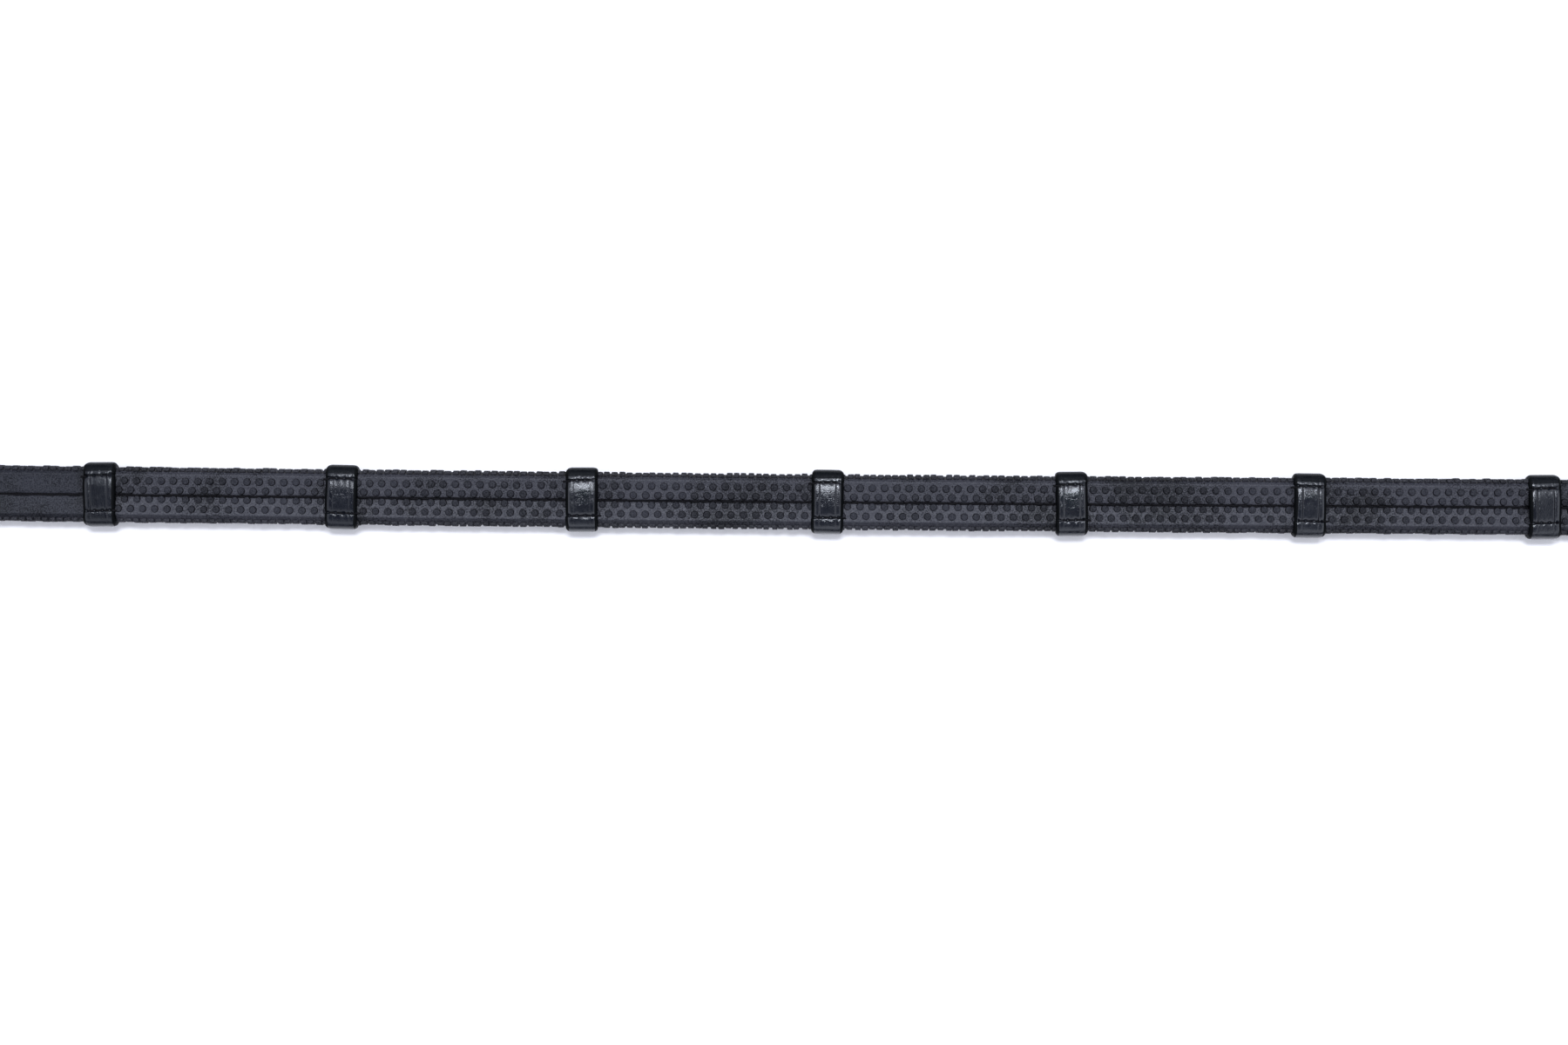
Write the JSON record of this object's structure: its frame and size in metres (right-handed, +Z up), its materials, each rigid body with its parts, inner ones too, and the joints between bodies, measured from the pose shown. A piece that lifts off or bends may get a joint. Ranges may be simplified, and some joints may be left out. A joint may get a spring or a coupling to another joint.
{
  "type": "riding rein",
  "caption": "Rubber-covered riding rein with leather hand stops, a hook-stud billet for the bit ring and a strap buckle at the hand end.",
  "frame": {"origin": "on the floor under the middle of the rubber grip, which lies on its hand stops", "axes": "+X along the rein from the bit end to the hand end, +Z up, +Y across the rein"},
  "size_m": [1.0359, 0.0238, 0.0239],
  "materials": {
    "rubber": "matt moulded rubber with pimples",
    "stop_leather": "glossy fine-grain black leather",
    "strap_leather": "semi-gloss black bridle leather",
    "core_leather": "plain",
    "thread": "waxed thread",
    "tie_cord": "waxed cord",
    "steel": "polished stainless steel"
  },
  "bodies": {
    "rein": {"grip_core": "core_leather", "rubber_grip_cover": "rubber", "centre_seam_thread": "thread", "hand_stop_1": "stop_leather", "hand_stop_2": "stop_leather", "hand_stop_3": "stop_leather", "hand_stop_4": "stop_leather", "hand_stop_5": "stop_leather", "hand_stop_6": "stop_leather", "hand_stop_7": "stop_leather", "stop_stitches": "thread", "bit_end_strap": "strap_leather", "hook_stud": "steel", "stud_back_plate": "steel", "bit_fixed_keeper": "strap_leather", "bit_keeper_stitches": "thread", "hand_end_strap": "strap_leather", "buckle_fixed_keeper": "strap_leather", "turnback_stitches": "thread", "bit_hank_tie": "tie_cord", "hand_hank_tie": "tie_cord"},
    "buckle": {"buckle_frame": "steel"},
    "tongue": {"buckle_tongue": "steel"},
    "bit_keeper": {"bit_running_keeper": "strap_leather"},
    "buckle_keeper": {"buckle_running_keeper": "strap_leather"}
  },
  "joints": [
    {"name": "buckle_hinge", "type": "hinge", "parent": "rein", "child": "buckle", "pos_m": [0.524, 0, 0.0047], "axis": [0, -1, 0], "range_deg": [0, 45]},
    {"name": "tongue_hinge", "type": "hinge", "parent": "buckle", "child": "tongue", "pos_m": [0.524, 0, 0.0047], "axis": [0, -1, 0], "range_deg": [0, 90]},
    {"name": "bit_keeper_slide", "type": "slide", "parent": "rein", "child": "bit_keeper", "axis": [1, 0, 0], "range_m": [-0.02, 0.012]},
    {"name": "buckle_keeper_slide", "type": "slide", "parent": "rein", "child": "buckle_keeper", "axis": [1, 0, 0], "range_m": [-0.008, 0.006]}
  ]
}
